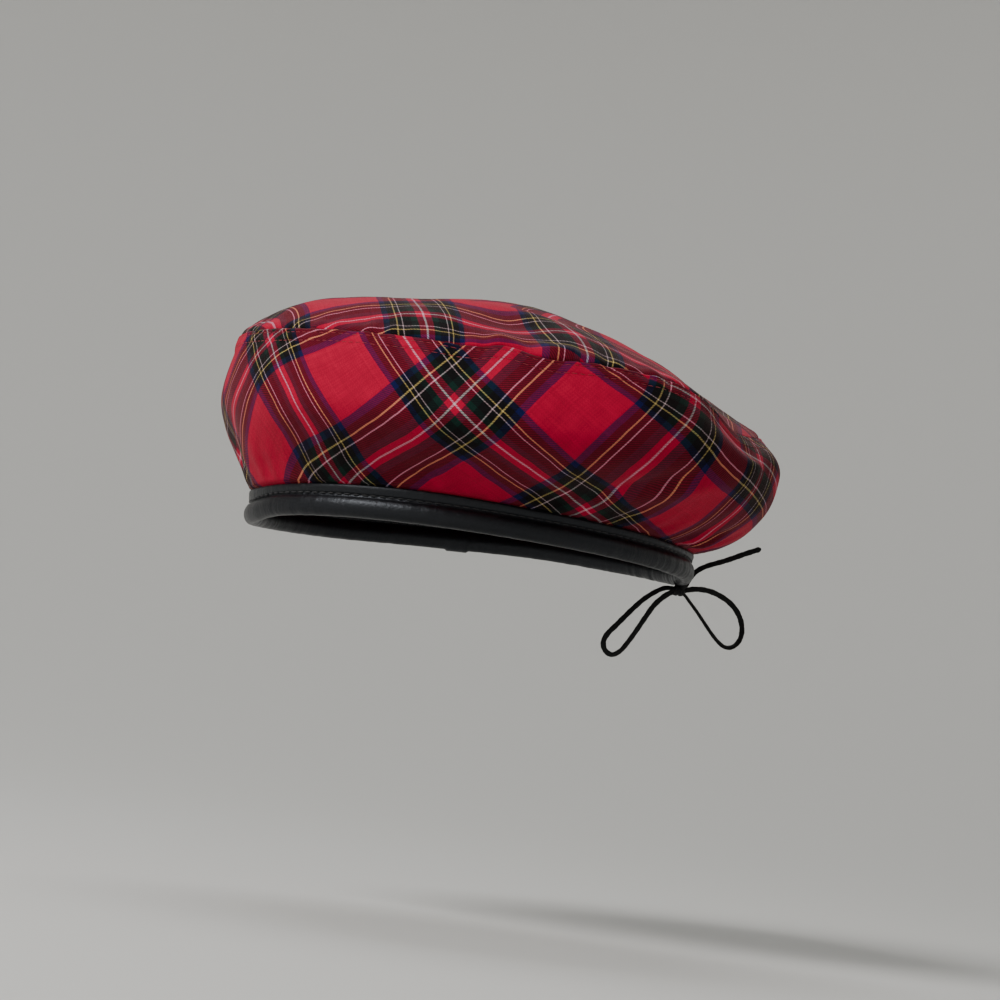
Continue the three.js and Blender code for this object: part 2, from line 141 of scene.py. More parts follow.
def dressShader(tree, shader, colour, rough, height, strength, depth):
    inputs = {"Strength": strength, "Distance": depth * mm, "Height": height}
    bump = addNode(tree, "ShaderNodeBump", inputs).outputs["Normal"]
    for socket, value in (("Base Color", colour), ("Roughness", rough), ("Normal", bump)):
        tree.links.new(value, shader.inputs[socket])


# Each input is given with its value, a vector with None, and every output is a number
def newGroup(name, inputs, outputs):
    group = bpy.data.node_groups.new(name, "ShaderNodeTree")
    for label, value in inputs.items():
        kind = "NodeSocketVector" if value is None else "NodeSocketFloat"
        socket = group.interface.new_socket(label, in_out="INPUT", socket_type=kind)
        if value is not None:
            socket.default_value = value
    for label in outputs:
        group.interface.new_socket(label, in_out="OUTPUT", socket_type="NodeSocketFloat")
    start, end = (group.nodes.new("NodeGroup" + side) for side in ("Input", "Output"))
    return group, start.outputs, end.inputs


def placeGroup(tree, group, **inputs):
    return addNode(tree, "ShaderNodeGroup", inputs, node_tree=group).outputs


# A 2/2 twill: threads that run up the cloth cross threads that run along it, two over and two under
def makeTwill():
    tree, given, result = newGroup("twill", {"Along": 0.0, "Up": 0.0, "Pitch": 0.4 * mm},
                                   ("Over", "Height", "Thread"))
    threads = [doMath(tree, "DIVIDE", given[name], given["Pitch"]) for name in ("Along", "Up")]
    counts = [doMath(tree, "FLOOR", thread) for thread in threads]
    repeat = doMath(tree, "FLOORED_MODULO", doMath(tree, "ADD", *counts), 4.0)
    over = doMath(tree, "LESS_THAN", repeat, 1.5)  # for two threads of each four
    rounds = []
    for thread, count in zip(threads, counts):
        offset = doMath(tree, "MULTIPLY_ADD", doMath(tree, "SUBTRACT", thread, count), 2.0, -1.0)
        rounds.append(doMath(tree, "SUBTRACT", 1.0, doMath(tree, "MULTIPLY", offset, offset)))
    upThread = doMath(tree, "MULTIPLY", rounds[0], over)
    acrossThread = doMath(tree, "MULTIPLY", rounds[1], doMath(tree, "SUBTRACT", 1.0, over))
    tree.links.new(over, result["Over"])
    tree.links.new(doMath(tree, "ADD", upThread, acrossThread), result["Height"])
    # each thread has a shade of its own, and the two directions draw theirs apart
    shades = []
    for axis, count in enumerate(counts):
        inputs = {"W": doMath(tree, "ADD", count, 0.37 + 311.0 * axis)}
        white = addNode(tree, "ShaderNodeTexWhiteNoise", inputs, noise_dimensions="1D")
        shades.append(white.outputs["Value"])
    chosen = addNode(tree, "ShaderNodeMix", (over, None, *reversed(shades)), data_type="FLOAT")
    tree.links.new(chosen.outputs[0], result["Thread"])
    return tree


# Small pebbled cells with finer pores on them, for leather
def makeGrain():
    tree, given, result = newGroup("grain", {"Place": None, "Cell": 900.0}, ("Height", "Mask"))
    inputs = {"Vector": given["Place"], "Scale": given["Cell"]}
    cells = addNode(tree, "ShaderNodeTexVoronoi", inputs, feature="SMOOTH_F1").outputs["Distance"]
    pores = addNoise(tree, given["Place"], doMath(tree, "MULTIPLY", given["Cell"], 2.6), 3.0, 0.6)
    domed = doMath(tree, "MULTIPLY", cells, -0.8)
    tree.links.new(doMath(tree, "MULTIPLY_ADD", pores, 0.5, domed), result["Height"])
    tree.links.new(cells, result["Mask"])
    return tree


twill = makeTwill()
grain = makeGrain()


# The cloth's stripes. Each list runs from the middle of a white line to the middle of the red
# ground, and the cloth repeats it there and back. The two directions differ a little, as the
# cloth is pulled. Scales here and below count the bumps to a metre.
tartan = {
    "halfRepeat": 36,
    "upStripes": [  # colour, width of the stripe
        ("white", 0.34), ("red", 2.66), ("green", 2.7), ("black", 3.6), ("white", 0.54),
        ("black", 1.8), ("yellow", 0.56), ("black", 3.1), ("blue", 2.6), ("red", 18.1),
    ],
    "alongStripes": [
        ("white", 0.36), ("red", 2.84), ("green", 3.9), ("black", 4.7), ("white", 0.56),
        ("black", 2.8), ("yellow", 0.6), ("black", 3.5), ("blue", 3.05), ("red", 13.7),
    ],
    "colours": {  # as seen, before the shader's gamma
        "red": (0.63, 0.0, 0.19), "blue": (0.022, 0.066, 0.25), "black": (0.012, 0.015, 0.025),
        "green": (0.01, 0.145, 0.12), "yellow": (0.76, 0.68, 0.40), "white": (0.76, 0.68, 0.69),
    },
    "gamma": 2.2,
    "surface": {
        "Specular IOR Level": 0.15, "Sheen Weight": 0.11, "Sheen Roughness": 0.35,
        "Sheen Tint": (1.0, 0.5, 0.5, 1),
    },
    "threadPitch": 0.32,
    "threadContrast": 0.24,
    "lineShare": 0.1,  # the thick white and yellow threads cover more than the ones they cross
    "lineGreen": 0.5,  # only these two colours have more green than this
    "wander": 0.7,  # how far a thread strays
    "wanderScale": 90,
    "shade": (0.92, 1.08),  # from one thread to the next
    "patches": (0.88, 1.12),
    "patchScale": 140,
    "fuzz": 0.07,
    "fuzzScale": 2600,
    "fuzzColour": (0.62, 0.20, 0.24, 1),
    "roughness": (0.75, 0.95),
    "roughScale": 700,
    "fibres": 0.7,  # their height beside the threads'
    "fibreScale": 3200,
    "bump": (0.4, 0.1),  # strength, depth
}


def addStripes(tree, place, stripes):
    half = tartan["halfRepeat"] * mm
    share = doMath(tree, "DIVIDE", doMath(tree, "PINGPONG", place, half), half)
    ramp = addNode(tree, "ShaderNodeValToRGB", (share,))
    ramp.color_ramp.interpolation = "CONSTANT"
    elements = ramp.color_ramp.elements
    total = sum(width for colour, width in stripes)
    start = 0
    for number, (colour, width) in enumerate(stripes):
        stop = elements[number] if number < 2 else elements.new(start / total)
        stop.position = start / total
        stop.color = (*tartan["colours"][colour], 1)
        start += width
    return ramp.outputs["Color"]


def makeCloth():
    material, tree, shader = newMaterial("tartan_cloth", tartan["surface"])
    flat = flatPlace(tree)
    along, up = splitPlace(tree, flat)
    stray = doMath(tree, "SUBTRACT", addNoise(tree, flat, tartan["wanderScale"]), 0.5)
    wandered = [doMath(tree, "MULTIPLY_ADD", stray, tartan["wander"] * mm, place)
                for place in (along, up)]
    twillParts = placeGroup(tree, twill, Along=along, Up=up, Pitch=tartan["threadPitch"] * mm)
    upColour = addStripes(tree, wandered[0], tartan["upStripes"])
    alongColour = addStripes(tree, wandered[1], tartan["alongStripes"])
    # the nap softens the change from one thread to the next
    half = tartan["threadContrast"] / 2
    share = between(tree, twillParts["Over"], 0.5 - half, 0.5 + half)
    for colours, lean in ((upColour, tartan["lineShare"]), (alongColour, -tartan["lineShare"])):
        green = addNode(tree, "ShaderNodeSeparateColor", (colours,)).outputs[1]
        onLine = doMath(tree, "GREATER_THAN", green, tartan["lineGreen"])
        share = doMath(tree, "MULTIPLY_ADD", onLine, lean, share)
    woven = mixColours(tree, share, alongColour, upColour)
    # threads differ in shade, and the nap mutes them in soft patches
    shade = between(tree, twillParts["Thread"], *tartan["shade"])
    patches = addNoise(tree, flat, tartan["patchScale"], 4.0, 0.6)
    patches = between(tree, patches, *tartan["patches"])
    tint = addNode(tree, "ShaderNodeCombineColor", [doMath(tree, "MULTIPLY", shade, patches)] * 3)
    coloured = mixColours(tree, 1.0, woven, tint.outputs[0], "MULTIPLY")
    fuzz = addNoise(tree, flat, tartan["fuzzScale"], 3.0, 0.7)
    fuzz = doMath(tree, "MULTIPLY", fuzz, tartan["fuzz"])
    napped = mixColours(tree, fuzz, coloured, tartan["fuzzColour"])
    seen = addNode(tree, "ShaderNodeGamma", (napped, tartan["gamma"]))
    rough = between(tree, addNoise(tree, flat, tartan["roughScale"]), *tartan["roughness"])
    fibres = addNoise(tree, flat, tartan["fibreScale"], 3.0, 0.65)
    height = doMath(tree, "MULTIPLY_ADD", fibres, tartan["fibres"], twillParts["Height"])
    dressShader(tree, shader, seen.outputs[0], rough, height, *tartan["bump"])
    return material


leather = {
    "surface": {"Specular IOR Level": 0.32, "Specular Tint": (0.86, 0.92, 1.0, 1)},
    "dark": (0.0015, 0.0015, 0.0022, 1),
    "worn": (0.006, 0.006, 0.008, 1),
    "cellScale": 1100,
    "cloudScale": 45,
    "creaseScale": 420,
    "creaseStretch": (1.0, 0.12, 1.0),
    "creaseHeight": 2.2,  # beside the grain's
    "roughness": (0.24, 0.42),
    "poreRoughness": 0.12,
    "bump": (0.6, 0.17),
}


def makeLeather():
    material, tree, shader = newMaterial("black_leather", leather["surface"])
    flat = flatPlace(tree)
    grainParts = placeGroup(tree, grain, Place=flat, Cell=leather["cellScale"])
    inputs = {"Vector": flat, "Scale": leather["creaseStretch"]}
    stretched = addNode(tree, "ShaderNodeMapping", inputs)
    creases = addNoise(tree, stretched.outputs[0], leather["creaseScale"], 3.0, 0.55)
    clouds = addNoise(tree, flat, leather["cloudScale"], 3.0, 0.6)
    worn = doMath(tree, "MULTIPLY", clouds, doMath(tree, "SUBTRACT", 1.0, grainParts["Mask"]))
    colour = mixColours(tree, worn, leather["dark"], leather["worn"])
    rough = between(tree, clouds, *leather["roughness"])
    rough = doMath(tree, "MULTIPLY_ADD", grainParts["Mask"], leather["poreRoughness"], rough)
    height = doMath(tree, "MULTIPLY_ADD", creases, leather["creaseHeight"], grainParts["Height"])
    dressShader(tree, shader, colour, rough, height, *leather["bump"])
    return material


cordCloth = {
    "surface": {"Specular IOR Level": 0.2, "Sheen Weight": 0.02},
    "pitch": 0.34,  # of its braid
    "dark": (0.0008, 0.0008, 0.001, 1),
    "light": (0.004, 0.004, 0.0045, 1),
    "roughness": (0.52, 0.72),
    "bump": (0.6, 0.12),
}


def makeCordCloth():
    material, tree, shader = newMaterial("black_cord", cordCloth["surface"])
    along, around = splitPlace(tree, flatPlace(tree))
    braid = placeGroup(tree, twill, Along=doMath(tree, "ADD", along, around),
                       Up=doMath(tree, "SUBTRACT", along, around), Pitch=cordCloth["pitch"] * mm)
    # Each thread has its own tone, and the braid is also painted lighter where it stands up and
    # darker in its grooves, a painted shade in the weave
    crown = doMath(tree, "MULTIPLY", braid["Height"], 0.5)
    shade = doMath(tree, "MULTIPLY_ADD", braid["Thread"], 0.5, crown)
    colour = mixColours(tree, shade, cordCloth["dark"], cordCloth["light"])
    rough = between(tree, braid["Thread"], *cordCloth["roughness"])
    dressShader(tree, shader, colour, rough, braid["Height"], *cordCloth["bump"])
    return material


thread = {
    "surface": {"Specular IOR Level": 0.4, "Sheen Weight": 0.1},
    "plyScale": 2400,
    "roughness": (0.45, 0.75),
    "bump": (0.5, 0.08),
}


def makeThread(name, dark, light):
    material, tree, shader = newMaterial(name, thread["surface"])
    place = addNode(tree, "ShaderNodeTexCoord").outputs["Object"]
    plies = addNoise(tree, place, thread["plyScale"])
    # The colour follows the plies' bumps: lighter where they stand up and darker between them, a
    # painted shade between the plies
    colour = mixColours(tree, plies, (*dark, 1), (*light, 1))
    rough = between(tree, plies, *thread["roughness"])
    dressShader(tree, shader, colour, rough, plies, *thread["bump"])
    return material


clothMaterial = makeCloth()
leatherMaterial = makeLeather()
cordMaterial = makeCordCloth()
redThread = makeThread("red_thread", (0.14, 0.003, 0.010), (0.36, 0.02, 0.035))
# The black thread's lighter colour is a painted highlight on its plies, so that the stitches show
# in the leather's groove
blackThread = makeThread("black_thread", (0.006, 0.006, 0.007), (0.03, 0.03, 0.033))
print("materials made")


def makeObject(name, mesh, material):
    for face in mesh.faces:
        face.smooth = True
    data = bpy.data.meshes.new(name)
    mesh.to_mesh(data)
    mesh.free()
    data.materials.append(material)
    made = bpy.data.objects.new(name, data)
    scene.collection.objects.link(made)
    return made


# Finishing a piece: its object stays at the origin and rides on the one body
def finishPiece(name, mesh, material, slot, *nodes):
    bmesh.ops.recalc_face_normals(mesh, faces=mesh.faces)
    piece = makeObject(name, mesh, material)
    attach(piece, "root")
    if nodes:
        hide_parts(*nodes)
    return piece


# Drapes a grid over places. spots and flat are arrays of columns, rows and coordinates in mm
def drapeGrid(mesh, spots, flat, weld=0.004):
    columns, rows = spots.shape[0] - 1, spots.shape[1] - 1
    layer = mesh.loops.layers.uv.get("flat") or mesh.loops.layers.uv.new("flat")
    made = bmesh.ops.create_grid(mesh, x_segments=columns, y_segments=rows, size=1)["verts"]
    cell = {}
    for vert in made:
        cell[vert] = (round((vert.co.x + 1) / 2 * columns), round((vert.co.y + 1) / 2 * rows))
        vert.co = Vector(spots[cell[vert]]) * mm
    for vert in made:
        for loop in vert.link_loops:
            loop[layer].uv = Vector(flat[cell[vert]]) * mm
    bmesh.ops.remove_doubles(mesh, verts=made, dist=weld * mm)


# Reads a column of a table at any angle, on a smooth curve that runs through all its rows
def atAngle(table, angle, column):
    places = np.array([row[0] for row in table], float)
    values = np.array([row[column] for row in table], float)
    count = len(places)
    wrapped = np.mod(np.asarray(angle, float), 360)
    row = np.searchsorted(places, wrapped, side="right") - 1

    def near(shift):
        index = row + shift
        return places[index % count] + 360 * np.floor_divide(index, count), values[index % count]

    (a0, v0), (a1, v1), (a2, v2), (a3, v3) = (near(shift) for shift in (-1, 0, 1, 2))
    step = a2 - a1
    slopes = (v2 - v0) / (a2 - a0) * step, (v3 - v1) / (a3 - a1) * step
    return cubic(v1, v2, *slopes, (wrapped - a1) / step)


def cubic(start, end, slopeStart, slopeEnd, t):
    return ((2 * t**3 - 3 * t**2 + 1) * start + (t**3 - 2 * t**2 + t) * slopeStart
            + (3 * t**2 - 2 * t**3) * end + (t**3 - t**2) * slopeEnd)


def polarPoint(angle, out, up):
    turn = np.radians(angle)
    return np.stack(np.broadcast_arrays(out * np.cos(turn), out * np.sin(turn), up), -1)


# Two shapes that fade with distance: a bell about a place, and a slope from 0 to 1
def bell(distance, spread, power=2):
    return np.exp(-((distance / spread) ** power))


def rising(distance, length):
    return np.clip(distance / length, 0, 1)


def angleBetween(angle, other):
    return np.mod(angle - other + 180, 360) - 180


# Ripples round the hat: a sum of waves with seeded starts, from the fewest to the most in a round
def ripples(angle, seed, fewest, most, waves=7):
    chance = random.Random(seed)
    total = 0
    for wave in range(waves):
        count = round(fewest + (most - fewest) * wave / (waves - 1))
        start = chance.uniform(0, 2 * math.pi)
        total = total + math.sqrt(1 / waves) * np.sin(np.radians(angle) * count + start)
    return total


# Soft lumps of about one size, each seed with its own
def lumps(spots, size, seed):
    shift = Vector(part * seed for part in (7.1, 3.3, 5.7))
    values = [noise.noise(Vector(spot) + shift) for spot in spots.reshape(-1, 3) / size]
    return np.array(values).reshape(spots.shape[:-1])


# The way a grid that closes round the hat faces at each place
def gridNormals(spots):
    ring = np.concatenate([spots[-2:-1], spots, spots[1:2]])
    normals = np.cross(ring[2:] - ring[:-2], np.gradient(spots, axis=1))
    return normals / np.maximum(np.linalg.norm(normals, axis=-1, keepdims=True), 1e-9)


# How far each place is along its line, or along its column of a grid
def lengthsAlong(spots):
    steps = np.linalg.norm(np.diff(spots, axis=-2), axis=-1)
    return np.concatenate([np.zeros((*steps.shape[:-1], 1)), np.cumsum(steps, axis=-1)], axis=-1)


def placeAt(distance, reach, line):
    return np.stack([np.interp(distance, reach, line[:, axis]) for axis in range(3)], -1)


# Headband: one section, from the outer wall's top round the roll and up the inner wall, swept
# round an oval
headband = {
    "halfLength": 101.3,
    "halfWidth": 80.5,
    "middleX": 0.8,
    "leather": 1.2,
    "slot": 2.4,
    "rollHeight": 9.4,
    "rollBulge": 1.2,
    "innerDrop": 0.8,
    "foot": 0.5,  # the walls turn into the roll this far above it
    # outward and up, from the top edge and from the foot, for the outer and the inner wall
    "outerTop": [(-1.2, -2.6), (-1.2, -0.5), (-0.9, -0.1), (-0.5, 0), (-0.12, -0.25), (0.05, -0.8)],
    "outerFoot": [(-0.25, 0.5), (-0.75, 0.15), (-1.0, -0.15), (-0.85, -0.5)],
    "innerFoot": [(0.85, -0.5), (0.95, -0.15), (0.3, 0.4)],
    "innerTop": [(0.15, -0.2), (0.6, 0), (1.0, -0.3), (1.2, -0.8)],
    "rollTurn": (64, -244, 26),  # degrees from and to, number of places
    "columns": 540,
    "edges": [  # angle, height of the lower edge, height of the band
        (0, 1, 13.6), (30, 4.4, 13.5), (60, 7, 13.5), (90, 5.6, 14), (120, 2.6, 14.5),
        (150, 1, 14.5), (180, 0.6, 14.6), (200, 3.8, 13.4), (225, 5.7, 14), (250, 6.2, 14.3),
        (275, 5.6, 13.6), (300, 4.4, 13.4), (330, 2.4, 12.8),
    ],
    "gather": (350, 34),  # where the leather is gathered: angle, spread
    "rollCreases": [  # seed, fewest and most waves, height all round, more where it is gathered
        (11, 90, 150, 0.015, 0.07), (12, 40, 80, 0.04, 0.06),
    ],
    "wallCreases": [(13, 60, 120, 0.03, 0.07)],
    "innerCreases": 1.7,  # times as high on the inner side
    "innerStart": 27,  # the section's inner side comes after this row
    "join": (82, 3.2, 0.5),  # the strip's two ends overlap here: angle, reach, edge
    "overlap": 0.8,
    "overlapStart": 5,  # it shows after this row
    "flatRow": 20,  # the leather's length is measured along this row
    "holeSide": 3.7,  # from the middle of the back to each hole of the cord
    "holeSlope": 55,  # degrees down round the roll
    "holeDip": 1.1,
    "holeRadius": 1.35,
}


def bandPoint(angle, outward, up):
    turn = np.radians(angle)
    return np.stack(np.broadcast_arrays(
        headband["middleX"] + (headband["halfLength"] + outward) * np.cos(turn),
        (headband["halfWidth"] + outward) * np.sin(turn),
        atAngle(headband["edges"], angle, 1) + up,
    ), -1)


def bandHeight(angle):
    return atAngle(headband["edges"], angle, 2)


def rollOval():  # the roll's middle, half its width and half its height
    across = 2 * headband["leather"] + headband["slot"]
    return -across / 2, across / 2 + headband["rollBulge"], headband["rollHeight"] / 2


def bandSection(angle):
    high = float(bandHeight(angle))
    foot = headband["rollHeight"] + headband["foot"]
    top = high - headband["innerDrop"]
    middle, halfAcross, half = rollOval()

    def placed(key, out, up):
        return [(out + aside, up + above) for aside, above in headband[key]]

    points = placed("outerTop", 0, high)
    points += list(np.linspace((0.16, high - 1.5), (-0.14, foot + 0.9), 4))
    points += placed("outerFoot", 0, foot)
    for turn in np.radians(np.linspace(*headband["rollTurn"])):
        points.append((middle + halfAcross * np.cos(turn), half + half * np.sin(turn)))
    points += placed("innerFoot", 2 * middle, foot)
    inside = 2 * middle - 0.05
    points += list(np.linspace((inside, foot + 1), (inside, top - 0.8), 3))
    points += placed("innerTop", 2 * middle, top)
    slot = headband["outerTop"][0]  # the slot between the walls takes the cloth
    points += [(2 * middle - slot[0], high + slot[1]), (slot[0], high + slot[1])]
    return np.array(points)


def holeCentre(side):
    turn = math.radians(headband["holeSlope"])
    middle, halfAcross, half = rollOval()
    angle = math.degrees(math.asin(side * headband["holeSide"] / headband["halfWidth"]))
    out = np.array([math.cos(turn) / halfAcross, 0, -math.sin(turn) / half])
    at = bandPoint(angle, middle + halfAcross * math.cos(turn), half - half * math.sin(turn))
    return at, out / np.linalg.norm(out)


def makeHeadband():
    angles = np.linspace(0, 360, headband["columns"] + 1)
    sections = np.array([bandSection(angle) for angle in angles])
    up = sections[..., 1]
    turn = angles[:, None]
    spots = bandPoint(turn, sections[..., 0], up)
    normals = -gridNormals(spots)
    row = np.arange(spots.shape[1])[None, :]
    nearBack = bell(angleBetween(turn, headband["gather"][0]), headband["gather"][1])

    def creases(waves):
        return sum(ripples(turn, *wave[:3]) * (wave[3] + wave[4] * nearBack) for wave in waves)

    onRoll = rising(headband["rollHeight"] - 0.4 - up, 2)
    inner = np.where(row > headband["innerStart"], headband["innerCreases"], 1.0)
    push = creases(headband["rollCreases"]) * onRoll * inner
    push = push + creases(headband["wallCreases"]) * (1 - onRoll)
    join, reach, edge = headband["join"]
    overlap = rising(reach - np.abs(angleBetween(turn, join)), edge)
    push = push + headband["overlap"] * overlap * (row > headband["overlapStart"])
    for side in (-1, 1):  # the leather dips into each hole round the cord
        away = np.linalg.norm(spots - holeCentre(side)[0], axis=-1)
        push = push - headband["holeDip"] * bell(away, headband["holeRadius"], 4)
    spots = spots + normals * push[..., None]
    spots[-1] = spots[0]
    spots[:, -1] = spots[:, 0]
    around = lengthsAlong(np.swapaxes(spots, 0, 1)).T[:, headband["flatRow"], None]
    flat = np.stack(np.broadcast_arrays(around, lengthsAlong(spots)), -1)
    mesh = bmesh.new()
    drapeGrid(mesh, spots, flat)
    return finishPiece("headband_leather", mesh, leatherMaterial, "black_leather", "headband")


headbandPiece = makeHeadband()
print("headband made")


# Side panel, from between the leather walls to the crown seam
sidePanel = {
    "columns": 540,
    "rows": [(0, 0.88, 42, False), (0.88, 1, 23)],  # stations from 0 at the band to 1 at the seam
    "thickness": 1.1,
    "flatSize": (700, 223),  # as cut, a part of a ring
    "flatArea": 62100,
    "bulgeStation": 0.6,
    "start": (0.6, 1.1),  # outward and up from the headband's top edge
    "tuck": [(-1.55, -2.3), (-1.55, -1.3), (-1.5, -0.4), (-1.1, 0.35), (-0.35, 0.85)],
    "tuckDrop": [-4.0, -3.0, -2.1, -1.25, -0.55],  # how far down the cloth those rows are
    "sections": [  # angle, flare, bulgeOut, bulgeUp, seamOut, seamUp
        (0, 18, 129, 55, 119.5, 71), (20, 25, 126, 53, 117, 74), (50, 34, 121, 52, 114, 80),
        (90, 42, 119, 52.5, 112, 82), (130, 50, 118, 54, 112, 82), (165, 62, 117, 57, 113.7, 82),
        (195, 57, 118, 56, 114, 82.5), (225, 48, 119.5, 54, 112.5, 82.3),
        (255, 42, 120.5, 53, 113, 80.2), (280, 38, 124, 52, 115, 81),
        (297, 34, 127, 52, 117.5, 79.5), (308, 30, 129, 52, 119.3, 73.5),
        (319, 22, 131.5, 52, 121, 65.5), (345, 15, 132.5, 52, 122, 69.7),
    ],
    "sag": (1.1, 40),  # how far it runs on outwards, and the flare below which it runs further
    "upright": 0.85,  # how straight up it comes to the bulge
    "tightened": 0.15,  # how much it turns in below the seam
    "folds": [  # angle, station, spread of angle, spread of station, lean, push
        (176, 0.22, 7, 0.16, 20, -1.8), (166, 0.55, 9, 0.3, 0, 1.2), (292, 0.3, 5, 0.2, 60, -1.6),
        (303, 0.34, 6, 0.22, 60, 1.4), (318, 0.78, 7, 0.2, -40, -2.2), (335, 0.7, 9, 0.3, 0, 1.2),
        (30, 0.4, 8, 0.3, 40, -2), (75, 0.3, 8, 0.25, -30, -1.4), (130, 0.3, 9, 0.25, 30, -1.4),
    ],
    "seamWaves": [(257.5, 4.6, 2.5), (268, 4, -0.9), (240, 7, 0.5)],  # angle, spread, rise
    "lumps": [(26, 1, 1.3, 12), (11, 2, 0.35, 8)],  # size, seed, height, fade from the edge
    "gatherWaves": (8, 30, 58),  # seed, fewest and most in a round
    "gathers": 0.28,
    "moreGathers": [(335, 30, 0.75), (190, 25, 0.3)],  # angle, spread, height
    "gatherPlace": (7, 12, 4),  # height above the band, spread, fade from the band
    "calm": (9, 0.7),  # the lumps end this far from the seam, where both panels meet
    "backSeam": [(0, 0.8, -0.6), (3, 2.5, 0.25)],  # at the middle of the back: aside, spread, rise
    "backRadius": 120,
    "cut": {  # the ring it is cut from, and how the pattern lies on it
        "share": 0.288, "inside": 363.7, "drop": 40, "middle": 255, "lean": 53.9,
        "shift": (-4.3, -18.0),
    },
    # a place on the flat cloth, then how far the pattern is pulled there, along and up
    "pulls": [
        (-98, 26, -0.9, -3), (-71, 2, 6.1, 0.9), (-46, -26, 2.1, 2.4), (-25, -56, 2.4, 3.5),
        (-6, -87, 3.1, 9.9), (9, -121, 1.2, 11.3), (21, -155, 0.4, 10.4), (29, -191, 0, -1.1),
        (-113, 70, -0.8, -1.7), (-81, 46, -7.8, -6.5), (-52, 20, -7.5, 0.9), (-26, -9, 1.1, 1.4),
        (-3, -41, 0, 1.7), (17, -75, -0.5, 1.7), (33, -111, 4.2, 7.1), (46, -148, 2.5, -8.1),
        (55, -187, 0.1, -4.9), (-98, 91, -0.7, -2.8), (-65, 66, -4.5, -9.9), (-34, 38, 0.1, -2.1),
        (-6, 7, 1.7, 0), (19, -27, -0.4, -1.1), (40, -63, 0.8, -3.2), (58, -101, 3.4, 1.4),
        (71, -141, -1.3, -6.2), (81, -182, 0.1, -4.3), (-84, 113, 0.4, -0.9), (-48, 87, 0.7, -3.6),
        (-15, 56, 2.2, -1.5), (41, -13, 0.4, 1), (63, -51, -0.9, 8.2), (82, -92, -8.5, 12.2),
        (96, -134, -5.9, 0.8), (106, -177, 0, -0.7),
    ],
    "pullSpread": 28,
}


# How far the folds of a panel push it out
def foldPush(panel, angle, station):
    return sum(push * bell(angleBetween(angle, place + lean * (station - at)), angleSpread)
               * bell(station - at, stationSpread)
               for place, at, angleSpread, stationSpread, lean, push in panel["folds"])


def lumpPush(panel, spots, inside):
    return sum(lumps(spots, size, seed) * height * rising(inside, fade)
               for size, seed, height, fade in panel["lumps"])


# A column of the side panel's sections
def crown(angle, column):
    return atAngle(sidePanel["sections"], angle, column)


def seamHeight(angle):
    return crown(angle, 5) + sum(rise * bell(angleBetween(angle, place), spread)
                                 for place, spread, rise in sidePanel["seamWaves"])


def sidePoint(angle, station):
    outward, upward = polarPoint(angle, 1, 0), np.array([0, 0, 1.0])
    out, up = sidePanel["start"]
    start = bandPoint(angle, out, bandHeight(angle) + up)
    bulge = polarPoint(angle, crown(angle, 2), crown(angle, 3))
    seam = polarPoint(angle, crown(angle, 4), seamHeight(angle))
    flare = crown(angle, 1)
    slope = np.radians(flare)[..., None]
    reach = np.linalg.norm(bulge - start, axis=-1)[..., None]
    plain, flat = sidePanel["sag"]
    sag = (plain + rising(flat - flare, flat))[..., None]
    leaving = (outward * np.cos(slope) + upward * np.sin(slope)) * reach * sag
    split = sidePanel["bulgeStation"]
    t = station[..., None]
    low = cubic(start, bulge, leaving, upward * reach * sidePanel["upright"], t / split)
    rest = np.linalg.norm(seam - bulge, axis=-1)[..., None]
    arriving = seam - bulge - outward * rest * sidePanel["tightened"]
    high = cubic(bulge, seam, upward * rest, arriving, (t - split) / (1 - split))
    return np.where(t < split, low, high)


def pulledCloth(along, up, panel):
    moved = np.stack([along, up], -1)
    for atAlong, atUp, pullAlong, pullUp in panel["pulls"]:
        away = np.hypot(along - atAlong, up - atUp)
        moved += bell(away, panel["pullSpread"])[..., None] * (pullAlong, pullUp)
    return moved


# Where a place on the panel lies on the flat cloth: a cone unrolled, then the pulls of the sewing
def flatSide(angle, height):
    cut = sidePanel["cut"]
    turn = cut["share"] * np.radians(angle - cut["middle"])
    out = cut["inside"] + height
    x, y = out * np.sin(turn), out * np.cos(turn) - cut["inside"] - cut["drop"]
    lean = math.radians(cut["lean"])
    along = x * math.cos(lean) + y * math.sin(lean) + cut["shift"][0]
    up = y * math.cos(lean) - x * math.sin(lean) + cut["shift"][1]
    return pulledCloth(along, up, sidePanel)


# Seam relief: the doubled cloth beside the crown seam stands up a little, and the two rows of
# topstitching sink into it
seamRelief = {
    "allowance": (7.0, 1.2),  # width, slope of its edge
    "rise": 0.5,
    "rows": (2.0, 5.9),  # how far below the seam each row runs
    "row": (0.32, 0.55),  # depth, spread
    "valley": 0.75,
    "valleySpread": 0.55,
    "puckers": 0.42,
    "puckerSpread": 8,
    "puckerWaves": (5, 44, 78),  # seed, fewest and most in a round
    "swellWaves": (3, 3, 9),  # the puckers come and go with these
    "swell": (0.6, 0.4),
    "swellLimits": (0.2, 1.5),
    "flatPart": (324, 17, 0.9),  # angle, spread, share taken off the relief
}


def seamPuckers(angle):
    middle, part = seamRelief["swell"]
    swell = middle + part * ripples(angle, *seamRelief["swellWaves"])
    waves = ripples(angle, *seamRelief["puckerWaves"]) * seamRelief["puckers"]
    return waves * np.clip(swell, *seamRelief["swellLimits"])


# The seam is pulled flat where it runs down the slope towards the back
def seamDepth(angle):
    place, spread, share = seamRelief["flatPart"]
    return 1 - share * bell(angleBetween(angle, place), spread, 4)


# A grid of angles and stations, with the rows that a panel asks for
def panelGrid(panel):
    angles = np.linspace(0, 360, panel["columns"] + 1)
    stations = np.concatenate([np.linspace(*span) for span in panel["rows"]])
    return angles, *np.meshgrid(angles, stations, indexing="ij")


